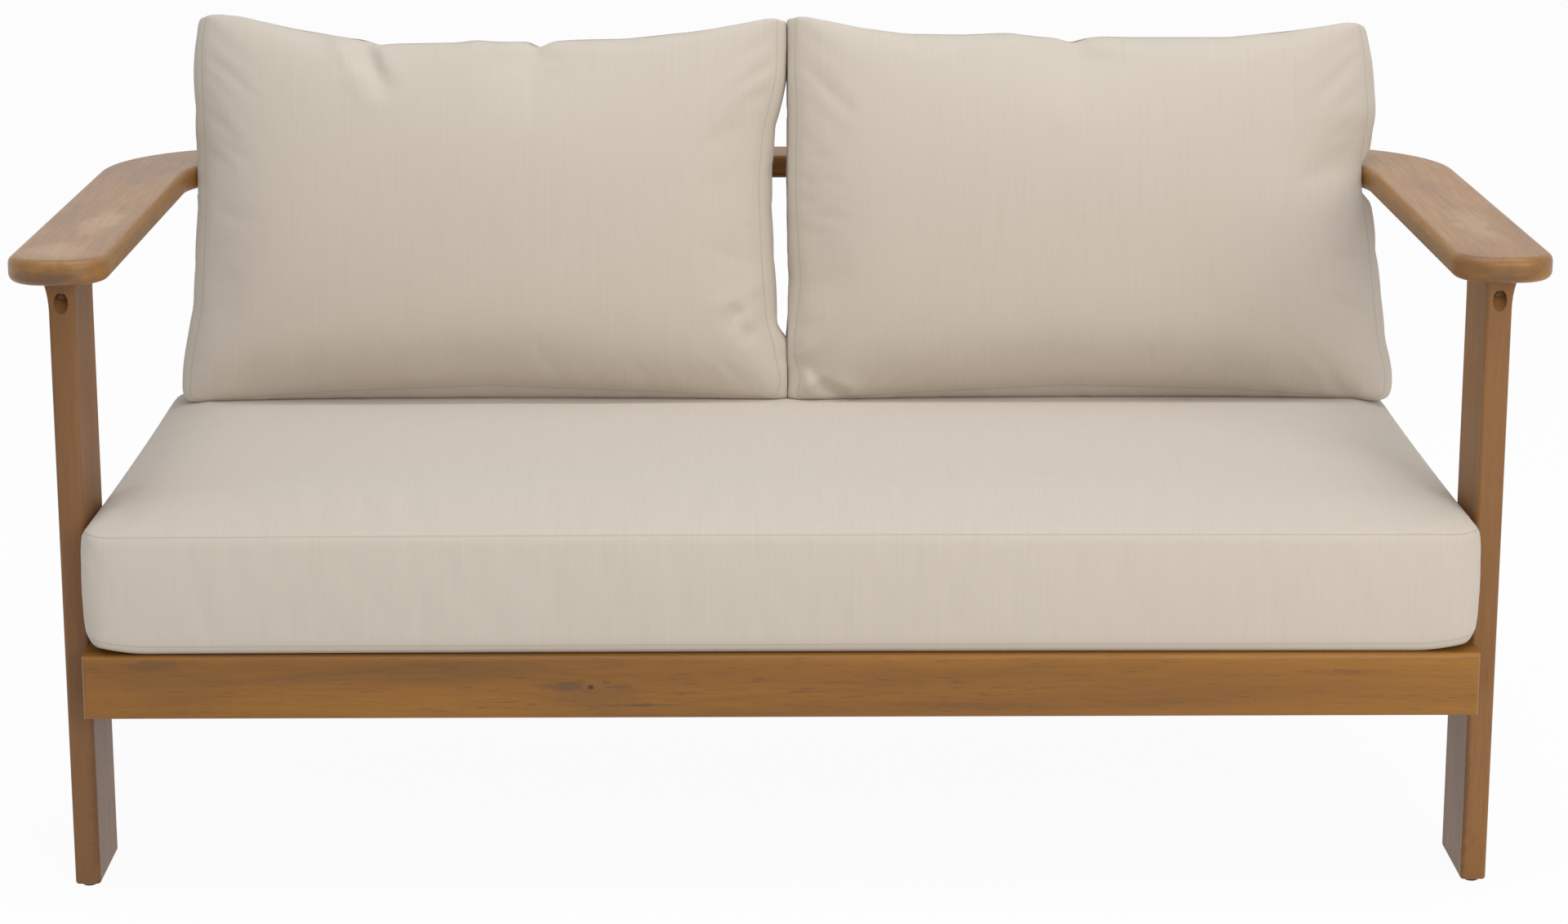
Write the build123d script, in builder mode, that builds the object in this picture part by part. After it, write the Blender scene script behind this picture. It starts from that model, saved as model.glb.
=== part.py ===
from build123d import *
import math
import os

os.makedirs("parts", exist_ok=True)

# Millimetres. +Z is up, the front of the loveseat faces -Y, and the origin is on the floor
# under the middle of the whole piece.

# Overall sizes
overall_width = 1500.0      # over the two arms
overall_depth = 686.0       # front of the seat cushion to the back of the rail
arm_height = 655.0          # floor to the top of the arms
board = 25.5                # thickness of every main board
sawn_edge = 1.5             # eased edge of the inner boards
cut_overrun = 1.0           # how far a cut runs past a face

# Front legs: flat boards set edge-on to the front
leg_depth = 100.0
leg_setback = 50.0          # front of the cushion to the front of the leg
arm_overhang_side = 35.0    # arm's outer edge beyond the leg's outer face
leg_edge_round = 4.0
leg_foot_round = 3.0
flare_height = 34.0
flare_out = 6.0
flare_in = 2.0

# Back legs: flat boards set broadside behind the seat box, under the joints of arms and rail
back_leg_width = 100.0

# Arms and back rail
arm_width = 98.0
arm_overhang_front = 43.0   # arm's tip in front of the leg
arm_tip_radius = 38.0
arm_outer_radius = 160.0
arm_inner_radius = 105.0
arm_edge_round = 8.0
rail_depth = 76.0
splice_setback = 7.0        # end of the arm's inner curve to the joint with the rail

# Seat box
apron_height = 65.0
apron_bottom = 194.0
apron_proud = 48.0          # front apron in front of the leg's front
apron_edge_round = 5.0
back_apron_gap = 51.0       # back of the rail to the back of the back apron
ledger_size = 24.0
bearer_height = 38.0
block_size = 50.0
block_flat = 20.0
block_height = 26.0
block_foot = 2.0            # block above the apron's lower edge

# Seat slats, front to back
seat_slat_count = 13
seat_slat_width = 60.0
seat_slat_thickness = 12.0
seat_slat_end_gap = 1.0

# Back slats, upright between the back apron and the rail
back_slat_count = 10
back_slat_width = 45.0
back_slat_thickness = 15.0

# Foot glides
glide_radius = 8.0
glide_height = 3.0
glide_round = 1.0
glide_inset = 12.0          # glide's centre from the end of the leg
nail_radius = 1.5
nail_length = 14.0

# Fasteners. Small turned ones are cut with flat sides, as many as these counts.
small_side_count = 8
round_side_count = 10
hole_clearance = 0.1        # on the radius, and past the end
dowel_radius = 4.0
dowel_length = 30.0
slat_dowel_radius = 3.0
slat_dowel_length = 24.0
screw_radius = 2.0
screw_head_radius = 4.0
screw_head_height = 2.4
slat_screw_length = 30.0
ledger_screw_length = 40.0
block_screw_length = 64.0
pocket_radius = 7.0
pocket_angle = 50.0
pocket_below_arm = 25.0
pocket_depth = 9.0
pocket_screw_length = 45.0
pocket_head_height = 2.6
bolt_radius = 3.0
bolt_length = 40.0
bolt_head_radius = 5.5
bolt_head_height = 3.3
bolt_socket_radius = 2.3
bolt_socket_depth = 2.0
washer_radius = 8.0
washer_thickness = 1.5
insert_radius = 4.75
insert_length = 15.0
bolt_end_room = 5.0         # hole past the end of the insert

# Cushions
cushion_clearance = 0.3     # soft form to what it rests on or beside
cover_wall = 2.0
insert_gap = 0.6            # cover to the insert inside it
inner_chord_count = 4       # chords for each bowed side of the forms inside a back cover
seat_side_gap = 0.5
seat_rear_gap = 9.5         # seat cushion to the back apron's line
seat_seam_height = 122.0    # underside of the cushion to its top seam
seat_bottom_seam = 9.0
seat_crown = 24.0           # top seam to the top of the crown
seat_corner = 14.0
seat_draw_in = 3.0          # sides pull in between the corners
seat_seam_pinch = 1.5
seat_foot_pinch = 8.0
back_cushion_height = 420.0
back_cushion_border = 60.0
back_cushion_lean = 8.0
back_front_bulge = 55.0
back_rear_bulge = 25.0
back_top_sag = 24.0         # top edge below its two corners
back_foot_arch = 15.0       # bottom edge above its two corners
back_seat_gap = 0.4         # foot of the back cushion above the seat cushion
back_wall_gap = 0.4         # back cushion to the rail and the arms' curve
back_side_gap = 4.0         # back cushion to the arm's inner edge
back_pair_gap = 1.0         # between the two back cushions
back_stand_margin = 3.0     # the level stretch of the seat in front of the back cushions' feet

# Places worked out from the sizes above
front_y = -overall_depth / 2
rail_back_y = overall_depth / 2
rail_front_y = rail_back_y - rail_depth
rail_mid_y = rail_back_y - rail_depth / 2
leg_front_y = front_y + leg_setback
arm_outer_x = overall_width / 2
arm_inner_x = arm_outer_x - arm_width
arm_tip_y = leg_front_y - arm_overhang_front
arm_bottom = arm_height - board
arm_mid_z = arm_height - board / 2
arm_curve_x = arm_inner_x - arm_inner_radius
arm_curve_y = rail_front_y - arm_inner_radius
rail_half_length = arm_curve_x - splice_setback
leg_outer_x = arm_outer_x - arm_overhang_side
leg_inner_x = leg_outer_x - board
leg_mid_x = leg_outer_x - board / 2
apron_top = apron_bottom + apron_height
apron_front_y = leg_front_y - apron_proud
box_front_y = apron_front_y + board
back_apron_back_y = rail_back_y - back_apron_gap
box_back_y = back_apron_back_y - board
box_half_width = leg_inner_x - board
box_mid_y = (box_front_y + box_back_y) / 2
box_depth = box_back_y - box_front_y
back_leg_front_y = back_apron_back_y
back_leg_mid_y = back_leg_front_y + board / 2
ledger_top = apron_top - seat_slat_thickness
ledger_mid_z = ledger_top - ledger_size / 2
block_mid_z = apron_bottom + block_foot + block_height / 2
block_side_screw_z = block_mid_z - block_height / 4
block_end_screw_z = block_mid_z + block_height / 4
block_screw_x = box_half_width - block_flat / 2
seat_slat_length = box_depth - 2 * seat_slat_end_gap
seat_slat_gap = (2 * box_half_width - seat_slat_count * seat_slat_width) / (seat_slat_count + 1)
seat_slat_pitch = seat_slat_width + seat_slat_gap
seat_slat_x = [(i - (seat_slat_count - 1) / 2) * seat_slat_pitch for i in range(seat_slat_count)]
back_slat_pitch = (2 * rail_half_length - back_leg_width) / back_slat_count
back_slat_x = [(i - (back_slat_count - 1) / 2) * back_slat_pitch for i in range(back_slat_count)]
back_slat_foot_y = back_apron_back_y - board / 2

# Fastener places, each on the face where the two pieces meet or where the driver goes in
arm_dowel_shares = [0.5, 0.8]
arm_dowel_points = [
    (side * leg_mid_x, leg_front_y + share * leg_depth, arm_bottom)
    for side in (-1, 1)
    for share in arm_dowel_shares
]
rail_dowel_points = [
    (side * (rail_half_length + end * back_leg_width / 4), back_leg_mid_y, arm_bottom)
    for side in (-1, 1)
    for end in (-1, 1)
]
splice_dowel_points = [
    (side * rail_half_length, rail_mid_y + end * rail_depth / 4, arm_mid_z)
    for side in (-1, 1)
    for end in (-1, 1)
]
slat_screw_y = [box_front_y + ledger_size / 2, box_back_y - ledger_size / 2]
ledger_screw_x = [
    box_half_width - seat_slat_gap / 2 - gap * seat_slat_pitch for gap in range(1, seat_slat_count // 2, 2)
]
bolt_low_z = apron_bottom + apron_height / 4
bolt_high_z = apron_top - apron_height / 3
front_bolt_shares = [0.38, 0.78]
front_bolt_points = [
    (leg_front_y + share * leg_depth, z)
    for share, z in zip(front_bolt_shares, (bolt_high_z, bolt_low_z))
]
back_bolt_x = [rail_half_length + end * back_leg_width / 4 for end in (-1, 1)]
front_glide_points = [
    (leg_mid_x, leg_front_y + glide_inset),
    (leg_mid_x, leg_front_y + leg_depth - glide_inset),
]
back_glide_points = [
    (rail_half_length + end * (back_leg_width / 2 - glide_inset), back_leg_mid_y) for end in (-1, 1)
]


def write(part, name):
    part.label = name
    export_step(part, "parts/" + name + ".step")


def write_pair(right, name):
    """The right-hand piece, and its mirror image on the left."""
    write(right, name + "_right")
    write(mirror(right, about=Plane.YZ), name + "_left")


def both_halves(part):
    """One group with the right-hand pieces and their mirror images."""
    return part + mirror(part, about=Plane.YZ)


def bar(radius, bottom, top, sides=small_side_count):
    with BuildPart() as piece:
        with BuildSketch(Plane.XY.offset(bottom)):
            RegularPolygon(radius, sides)
        extrude(amount=top - bottom)
    return piece.part


def taper(bottom_radius, top_radius, bottom, top, sides=small_side_count):
    with BuildPart() as piece:
        with BuildSketch(Plane.XY.offset(bottom)):
            RegularPolygon(bottom_radius, sides)
        with BuildSketch(Plane.XY.offset(top)):
            RegularPolygon(top_radius, sides)
        loft(ruled=True)
    return piece.part


def placed(piece, planes):
    """One group of separate solids: the same piece at every plane."""
    with BuildPart() as group:
        with Locations(*planes):
            add(piece)
    return group.part


def facing(points, direction):
    return [Plane(origin=point, z_dir=direction) for point in points]


def wood_screw(length, clearance=0):
    """A countersunk screw along -Z, its head flush with the plane; with a clearance, its hole."""
    neck = -screw_head_height - clearance
    with BuildPart() as screw:
        add(taper(screw_radius + clearance, screw_head_radius + clearance, neck, 0))
        add(bar(screw_radius + clearance, -length - clearance, neck))
    return screw.part


def dowel_hole(radius, length):
    """Half of a dowel's length along +Z, with its clearance."""
    return bar(radius + hole_clearance, -cut_overrun, length / 2 + hole_clearance)


slat_screw_hole = wood_screw(slat_screw_length, hole_clearance)
ledger_screw_hole = wood_screw(ledger_screw_length, hole_clearance)
block_screw_hole = wood_screw(block_screw_length, hole_clearance)
frame_dowel_hole = dowel_hole(dowel_radius, dowel_length)
slat_dowel_hole = dowel_hole(slat_dowel_radius, slat_dowel_length)
nail_hole = bar(nail_radius + hole_clearance, -cut_overrun, nail_length + hole_clearance)
bolt_hole = bar(bolt_radius + hole_clearance, -cut_overrun, board + cut_overrun, round_side_count)
insert_hole = bar(
    insert_radius + hole_clearance, -cut_overrun, insert_length + bolt_end_room, round_side_count
)

# Screw and bolt places on the right half, as planes that face the driver
slat_screw_planes = [Plane((x, y, apron_top)) for x in seat_slat_x for y in slat_screw_y]
ledger_screw_planes = facing(
    [(x, box_front_y + ledger_size, ledger_mid_z) for x in ledger_screw_x], (0, 1, 0)
) + facing([(x, box_back_y - ledger_size, ledger_mid_z) for x in ledger_screw_x], (0, -1, 0))
block_screw_planes = facing(
    [
        (box_half_width - block_size, box_front_y + block_flat / 2, block_side_screw_z),
        (box_half_width - block_size, box_back_y - block_flat / 2, block_side_screw_z),
    ],
    (-1, 0, 0),
)
block_screw_planes += facing([(block_screw_x, box_front_y + block_size, block_end_screw_z)], (0, 1, 0))
block_screw_planes += facing([(block_screw_x, box_back_y - block_size, block_end_screw_z)], (0, -1, 0))
bearing_planes = facing([(box_half_width, y, z) for y, z in front_bolt_points], (-1, 0, 0))
bearing_planes += facing([(x, box_back_y, bolt_low_z) for x in back_bolt_x], (0, -1, 0))

# The pocket screw stands in the middle of the leg's front face and slants up into the arm.
pocket_direction = (0, math.cos(math.radians(pocket_angle)), math.sin(math.radians(pocket_angle)))
pocket_mouth = (leg_mid_x, leg_front_y, arm_bottom - pocket_below_arm)
pocket_plane = Plane(origin=pocket_mouth, z_dir=pocket_direction)
pocket_floor = pocket_plane.offset(pocket_depth)
with BuildPart() as pocket_hole:
    with BuildSketch(pocket_plane.offset(-pocket_depth)):
        Circle(pocket_radius)
    extrude(amount=2 * pocket_depth)
    with BuildSketch(pocket_floor):
        RegularPolygon(screw_radius + hole_clearance, small_side_count)
    extrude(amount=pocket_screw_length + hole_clearance)

# Front legs
with BuildPart() as front_leg:
    flare_start = arm_bottom - flare_height
    with BuildSketch(Plane.XZ.offset(-leg_front_y)):
        with BuildLine():
            Line((leg_inner_x, glide_height), (leg_outer_x, glide_height))
            Line((leg_outer_x, glide_height), (leg_outer_x, flare_start))
            TangentArc((leg_outer_x, flare_start), (leg_outer_x + flare_out, arm_bottom), tangent=(0, 1))
            Line((leg_outer_x + flare_out, arm_bottom), (leg_inner_x - flare_in, arm_bottom))
            TangentArc((leg_inner_x, flare_start), (leg_inner_x - flare_in, arm_bottom), tangent=(0, 1))
            Line((leg_inner_x, flare_start), (leg_inner_x, glide_height))
        make_face()
    extrude(amount=-leg_depth)
    level_edges = front_leg.edges().group_by(Axis.Z)[0] + front_leg.edges().group_by(Axis.Z)[-1]
    upright_edges = (front_leg.edges() - level_edges).filter_by(
        lambda edge: edge.bounding_box().size.Z > flare_height / 2
    )
    fillet(upright_edges, leg_edge_round)
    fillet(front_leg.edges().group_by(Axis.Z)[0], leg_foot_round)
    add(pocket_hole.part, mode=Mode.SUBTRACT)
    with Locations(*facing([p for p in arm_dowel_points if p[0] > 0], (0, 0, -1))):
        add(frame_dowel_hole, mode=Mode.SUBTRACT)
    with Locations(*facing([(leg_inner_x, y, z) for y, z in front_bolt_points], (1, 0, 0))):
        add(insert_hole, mode=Mode.SUBTRACT)
    with Locations(*facing([(x, y, glide_height) for x, y in front_glide_points], (0, 0, 1))):
        add(nail_hole, mode=Mode.SUBTRACT)
write_pair(front_leg.part, "front_leg")

# Back legs
with BuildPart() as back_leg:
    with BuildSketch(Plane.XY.offset(glide_height)):
        with Locations((rail_half_length, back_leg_mid_y)):
            Rectangle(back_leg_width, board)
    extrude(amount=arm_bottom - glide_height)
    fillet(back_leg.edges().filter_by(Axis.Z), leg_edge_round)
    chamfer(back_leg.edges().group_by(Axis.Z)[0], sawn_edge)
    with Locations(*facing([p for p in rail_dowel_points if p[0] > 0], (0, 0, -1))):
        add(frame_dowel_hole, mode=Mode.SUBTRACT)
    with Locations(*facing([(x, back_leg_front_y, bolt_low_z) for x in back_bolt_x], (0, 1, 0))):
        add(insert_hole, mode=Mode.SUBTRACT)
    with Locations(*facing([(x, y, glide_height) for x, y in back_glide_points], (0, 0, 1))):
        add(nail_hole, mode=Mode.SUBTRACT)
write_pair(back_leg.part, "back_leg")

# Arms: one flat board each, sweeping round the back corner to meet the rail
with BuildPart() as arm:
    with BuildSketch(Plane.XY.offset(arm_bottom)):
        with BuildLine():
            FilletPolyline(
                (rail_half_length, rail_front_y),
                (arm_inner_x, rail_front_y),
                (arm_inner_x, arm_tip_y),
                (arm_outer_x, arm_tip_y),
                (arm_outer_x, rail_back_y),
                (rail_half_length, rail_back_y),
                radius=[arm_inner_radius, arm_tip_radius, arm_tip_radius, arm_outer_radius],
            )
            Line((rail_half_length, rail_back_y), (rail_half_length, rail_front_y))
        make_face()
    extrude(amount=board)
    splice_face = arm.faces().sort_by(Axis.X)[0]
    rims = arm.edges().filter_by(Axis.Z, reverse=True) - splice_face.edges()
    fillet(rims, arm_edge_round)
    dowel_points = [p for p in arm_dowel_points + rail_dowel_points if p[0] > rail_half_length]
    with Locations(*facing(dowel_points, (0, 0, 1))):
        add(frame_dowel_hole, mode=Mode.SUBTRACT)
    with Locations(*facing([p for p in splice_dowel_points if p[0] > 0], (1, 0, 0))):
        add(frame_dowel_hole, mode=Mode.SUBTRACT)
    add(pocket_hole.part, mode=Mode.SUBTRACT)
write_pair(arm.part, "arm")

# Back rail between the arms
with BuildPart() as back_rail:
    with BuildSketch(Plane.XY.offset(arm_bottom)):
        with Locations((0, rail_mid_y)):
            Rectangle(2 * rail_half_length, rail_depth)
    extrude(amount=board)
    fillet(back_rail.edges().filter_by(Axis.X), arm_edge_round)
    dowel_points = [p for p in rail_dowel_points if abs(p[0]) < rail_half_length]
    with Locations(*facing(dowel_points, (0, 0, 1))):
        add(frame_dowel_hole, mode=Mode.SUBTRACT)
    for side in (-1, 1):
        with Locations(*facing([p for p in splice_dowel_points if p[0] * side > 0], (-side, 0, 0))):
            add(frame_dowel_hole, mode=Mode.SUBTRACT)
    with Locations(*facing([(x, rail_mid_y, arm_bottom) for x in back_slat_x], (0, 0, 1))):
        add(slat_dowel_hole, mode=Mode.SUBTRACT)
write(back_rail.part, "back_rail")

# Seat box: front and back aprons run the full width, the side aprons stand between them
screw_holes = placed(ledger_screw_hole, ledger_screw_planes) + placed(block_screw_hole, block_screw_planes)

with BuildPart() as apron_front:
    with BuildSketch(Plane.XY.offset(apron_bottom)):
        with Locations((0, apron_front_y + board / 2)):
            Rectangle(2 * leg_inner_x, board)
    extrude(amount=apron_height)
    fillet(apron_front.faces().sort_by(Axis.Y)[0].edges(), apron_edge_round)
    add(both_halves(screw_holes), mode=Mode.SUBTRACT)
write(apron_front.part, "apron_front")

with BuildPart() as apron_back:
    with BuildSketch(Plane.XY.offset(apron_bottom)):
        with Locations((0, box_back_y + board / 2)):
            Rectangle(2 * leg_inner_x, board)
    extrude(amount=apron_height)
    chamfer(apron_back.faces().sort_by(Axis.Y)[-1].edges(), sawn_edge)
    add(both_halves(screw_holes), mode=Mode.SUBTRACT)
    bolt_points = [(side * x, box_back_y, bolt_low_z) for side in (-1, 1) for x in back_bolt_x]
    with Locations(*facing(bolt_points, (0, 1, 0))):
        add(bolt_hole, mode=Mode.SUBTRACT)
    with Locations(*facing([(x, back_slat_foot_y, apron_top) for x in back_slat_x], (0, 0, -1))):
        add(slat_dowel_hole, mode=Mode.SUBTRACT)
write(apron_back.part, "apron_back")

with BuildPart() as apron_side:
    with BuildSketch(Plane.XY.offset(apron_bottom)):
        with Locations((leg_inner_x - board / 2, box_mid_y)):
            Rectangle(board, box_depth)
    extrude(amount=apron_height)
    chamfer(apron_side.faces().sort_by(Axis.X)[-1].edges().filter_by(Axis.Y), sawn_edge)
    add(screw_holes, mode=Mode.SUBTRACT)
    with Locations(*facing([(box_half_width, y, z) for y, z in front_bolt_points], (1, 0, 0))):
        add(bolt_hole, mode=Mode.SUBTRACT)
write_pair(apron_side.part, "apron_side")

# Bearer under the middle slat
with BuildPart() as center_bearer:
    with BuildSketch(Plane.XY.offset(ledger_top - bearer_height)):
        with Locations((0, box_mid_y)):
            Rectangle(board, box_depth)
    extrude(amount=bearer_height)
    chamfer(center_bearer.edges().group_by(Axis.Z)[0].filter_by(Axis.Y), sawn_edge)
    with Locations(*[plane for plane in slat_screw_planes if abs(plane.origin.X) < board]):
        add(slat_screw_hole, mode=Mode.SUBTRACT)
write(center_bearer.part, "center_bearer")

# Ledgers carry the slat ends, and corner blocks stand below them
for end, wall_y, inward in (("front", box_front_y, 1), ("back", box_back_y, -1)):
    with BuildPart() as ledger:
        ledger_length = box_half_width - board / 2
        with BuildSketch(Plane.XY.offset(ledger_top - ledger_size)):
            with Locations((board / 2 + ledger_length / 2, wall_y + inward * ledger_size / 2)):
                Rectangle(ledger_length, ledger_size)
        extrude(amount=ledger_size)
        add(screw_holes, mode=Mode.SUBTRACT)
        with Locations(*[plane for plane in slat_screw_planes if plane.origin.X > board]):
            add(slat_screw_hole, mode=Mode.SUBTRACT)
    write_pair(ledger.part, "ledger_" + end)

    with BuildPart() as corner_block:
        with BuildSketch(Plane.XY.offset(apron_bottom + block_foot)):
            with BuildLine():
                Polyline(
                    (box_half_width, wall_y),
                    (box_half_width - block_size, wall_y),
                    (box_half_width - block_size, wall_y + inward * block_flat),
                    (box_half_width - block_flat, wall_y + inward * block_size),
                    (box_half_width, wall_y + inward * block_size),
                    close=True,
                )
            make_face()
        extrude(amount=block_height)
        add(screw_holes, mode=Mode.SUBTRACT)
    write_pair(corner_block.part, "corner_block_" + end)

# Seat slats
for i, x in enumerate(seat_slat_x):
    with BuildPart() as seat_slat:
        with BuildSketch(Plane.XY.offset(ledger_top)):
            with Locations((x, box_mid_y)):
                Rectangle(seat_slat_width, seat_slat_length)
        extrude(amount=seat_slat_thickness)
        chamfer(seat_slat.edges().group_by(Axis.Z)[-1].filter_by(Axis.Y), sawn_edge)
        with Locations(*[Plane((x, y, apron_top)) for y in slat_screw_y]):
            add(slat_screw_hole, mode=Mode.SUBTRACT)
    write(seat_slat.part, f"seat_slat_{i + 1:02d}")

# Back slats lean from the back apron up to the rail
back_slat_lean = math.atan2(rail_mid_y - back_slat_foot_y, arm_bottom - apron_top)
back_slat_half = back_slat_thickness / 2 / math.cos(back_slat_lean)
for i, x in enumerate(back_slat_x):
    with BuildPart() as back_slat:
        with BuildSketch(Plane.YZ.offset(x - back_slat_width / 2)):
            with BuildLine():
                Polyline(
                    (back_slat_foot_y - back_slat_half, apron_top),
                    (back_slat_foot_y + back_slat_half, apron_top),
                    (rail_mid_y + back_slat_half, arm_bottom),
                    (rail_mid_y - back_slat_half, arm_bottom),
                    close=True,
                )
            make_face()
        extrude(amount=back_slat_width)
        chamfer(
            back_slat.edges().filter_by(lambda edge: edge.length > (arm_bottom - apron_top) / 2),
            sawn_edge,
        )
        with Locations(*facing([(x, back_slat_foot_y, apron_top)], (0, 0, 1))):
            add(slat_dowel_hole, mode=Mode.SUBTRACT)
        with Locations(*facing([(x, rail_mid_y, arm_bottom)], (0, 0, -1))):
            add(slat_dowel_hole, mode=Mode.SUBTRACT)
    write(back_slat.part, f"back_slat_{i + 1:02d}")

# Dowels
dowel = bar(dowel_radius, -dowel_length / 2, dowel_length / 2)
dowel_planes = facing(arm_dowel_points + rail_dowel_points, (0, 0, 1))
dowel_planes += facing(splice_dowel_points, (1, 0, 0))
write(placed(dowel, dowel_planes), "frame_dowels")

slat_dowel = bar(slat_dowel_radius, -slat_dowel_length / 2, slat_dowel_length / 2)
slat_dowel_points = [(x, back_slat_foot_y, apron_top) for x in back_slat_x]
slat_dowel_points += [(x, rail_mid_y, arm_bottom) for x in back_slat_x]
write(placed(slat_dowel, facing(slat_dowel_points, (0, 0, 1))), "back_slat_dowels")

# Screws
write(placed(wood_screw(slat_screw_length), slat_screw_planes), "seat_slat_screws")
write(both_halves(placed(wood_screw(ledger_screw_length), ledger_screw_planes)), "ledger_screws")
write(both_halves(placed(wood_screw(block_screw_length), block_screw_planes)), "corner_block_screws")

with BuildPart() as arm_screw:
    with BuildSketch(pocket_floor):
        RegularPolygon(screw_radius, small_side_count)
    extrude(amount=pocket_screw_length)
    with BuildSketch(pocket_floor):
        RegularPolygon(screw_head_radius, round_side_count)
    extrude(amount=-pocket_head_height)
write(both_halves(arm_screw.part), "arm_screws")

# Bolts with their washers and threaded inserts. Each stands on the wood that the washer bears on.
with BuildPart() as leg_bolt:
    add(bar(bolt_radius, washer_thickness - bolt_length, washer_thickness, round_side_count))
    add(bar(bolt_head_radius, washer_thickness, washer_thickness + bolt_head_height, round_side_count))
    with BuildSketch(Plane.XY.offset(washer_thickness + bolt_head_height)):
        RegularPolygon(bolt_socket_radius, 6)
    extrude(amount=-bolt_socket_depth, mode=Mode.SUBTRACT)
write(both_halves(placed(leg_bolt.part, bearing_planes)), "leg_bolts")

with BuildPart() as washer:
    with BuildSketch():
        RegularPolygon(washer_radius, round_side_count)
        RegularPolygon(bolt_radius + hole_clearance, round_side_count, mode=Mode.SUBTRACT)
    extrude(amount=washer_thickness)
write(both_halves(placed(washer.part, bearing_planes)), "bolt_washers")

with BuildPart() as threaded_insert:
    with BuildSketch():
        RegularPolygon(insert_radius, round_side_count)
        RegularPolygon(bolt_radius + hole_clearance, round_side_count, mode=Mode.SUBTRACT)
    extrude(amount=-insert_length)
insert_planes = [plane.offset(-board) for plane in bearing_planes]
write(both_halves(placed(threaded_insert.part, insert_planes)), "leg_inserts")

# Foot glides: a round pad with a moulded-in nail
with BuildPart() as foot_glide:
    add(taper(glide_radius - glide_round, glide_radius, 0, glide_round, round_side_count))
    add(bar(glide_radius, glide_round, glide_height, round_side_count))
    add(bar(nail_radius, glide_height, glide_height + nail_length))
glide_planes = [Plane((x, y, 0)) for x, y in front_glide_points + back_glide_points]
write(both_halves(placed(foot_glide.part, glide_planes)), "foot_glides")

# Cushion places. The back cushions' front seams lean back in one plane from the seat to the rail.
rest_rise_share = 0.765     # the crown's level where the back cushions stand
seat_half_width = leg_inner_x - seat_side_gap
seat_rear_y = box_back_y - seat_rear_gap
seat_cushion_depth = seat_rear_y - front_y
seat_cushion_bottom = apron_top + cushion_clearance
lean = math.radians(back_cushion_lean)
back_foot_z = seat_cushion_bottom + seat_seam_height + rest_rise_share * seat_crown + back_seat_gap
rail_touch_z = arm_height - arm_edge_round
seam_at_rail_y = rail_front_y - back_wall_gap - (back_cushion_border + back_rear_bulge) / math.cos(lean)
seam_foot_y = seam_at_rail_y - (rail_touch_z - back_foot_z) * math.tan(lean)
back_stand_depth = seat_rear_y - seam_foot_y + back_stand_margin

# Each level of the seat's crown is drawn in from the top seam: at the sides by shares of the half
# width, in front by shares of the depth, and behind by shares of the stretch under the back cushions.
crown_rise_shares = [0.45, 0.62, rest_rise_share, 0.9, 1.0]
crown_side_shares = [0.032, 0.071, 0.143, 0.3, 0.52]
crown_front_shares = [0.037, 0.083, 0.15, 0.23, 0.33]
crown_rear_shares = [0.2, 0.45, 1.0, 1.4, 1.9]


def inner_seat_section(height, side, front, rear):
    """For the forms inside the cover: straight sides at the depth of the cover's bow."""
    near = front_y + front + seat_draw_in
    far = seat_rear_y - rear - seat_draw_in
    with BuildSketch(Plane.XY.offset(seat_cushion_bottom + height)) as section:
        with Locations((0, (near + far) / 2)):
            Rectangle(2 * (seat_half_width - side - seat_draw_in), far - near)
        chamfer(section.vertices(), seat_corner / 2)
    return section.sketch


def seat_section(height, side, front, rear):
    """A rounded rectangle whose sides bow inwards between the corners."""
    half = seat_half_width - side
    near = front_y + front
    far = seat_rear_y - rear
    r = seat_corner
    nip = r * (1 - math.cos(math.radians(45)))
    with BuildSketch(Plane.XY.offset(seat_cushion_bottom + height)) as section:
        with BuildLine():
            SagittaArc((-half + r, near), (half - r, near), seat_draw_in)
            ThreePointArc((half - r, near), (half - nip, near + nip), (half, near + r))
            SagittaArc((half, near + r), (half, far - r), seat_draw_in)
            ThreePointArc((half, far - r), (half - nip, far - nip), (half - r, far))
            SagittaArc((half - r, far), (-half + r, far), seat_draw_in)
            ThreePointArc((-half + r, far), (-half + nip, far - nip), (-half, far - r))
            SagittaArc((-half, far - r), (-half, near + r), seat_draw_in)
            ThreePointArc((-half, near + r), (-half + nip, near + nip), (-half + r, near))
        make_face()
    return section.sketch


def seat_pad(inset, section):
    """The seat cushion's form, shrunk all round by the inset."""
    foot = seat_foot_pinch + inset
    seam = seat_seam_pinch + inset
    middle_height = (seat_bottom_seam + seat_seam_height) / 2
    sections = [
        section(inset, foot, foot, foot),
        section(seat_bottom_seam, seam, seam, seam),
        section(middle_height, inset, inset, inset),
        section(seat_seam_height - inset, seam, seam, seam),
    ]
    levels = zip(crown_rise_shares, crown_side_shares, crown_front_shares, crown_rear_shares)
    for rise, side, front, rear in levels:
        sections.append(
            section(
                seat_seam_height + rise * seat_crown - inset,
                side * seat_half_width + inset,
                front * seat_cushion_depth + inset,
                rear * back_stand_depth + inset,
            )
        )
    with BuildPart() as pad:
        loft(sections, ruled=True)
    return pad.part


with BuildPart() as seat_cushion_cover:
    add(seat_pad(0, seat_section))
    add(seat_pad(cover_wall, inner_seat_section), mode=Mode.SUBTRACT)
write(seat_cushion_cover.part, "seat_cushion_cover")
write(seat_pad(cover_wall + insert_gap, inner_seat_section), "seat_cushion_foam")

# Back cushions. Upright sections are stacked along X, and behind the front seam the cushion fills
# the space up to the rail and the inside of the arm's curve.
back_outer_x = arm_inner_x - back_side_gap
back_inner_x = back_pair_gap / 2
back_cushion_width = back_outer_x - back_inner_x
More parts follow.
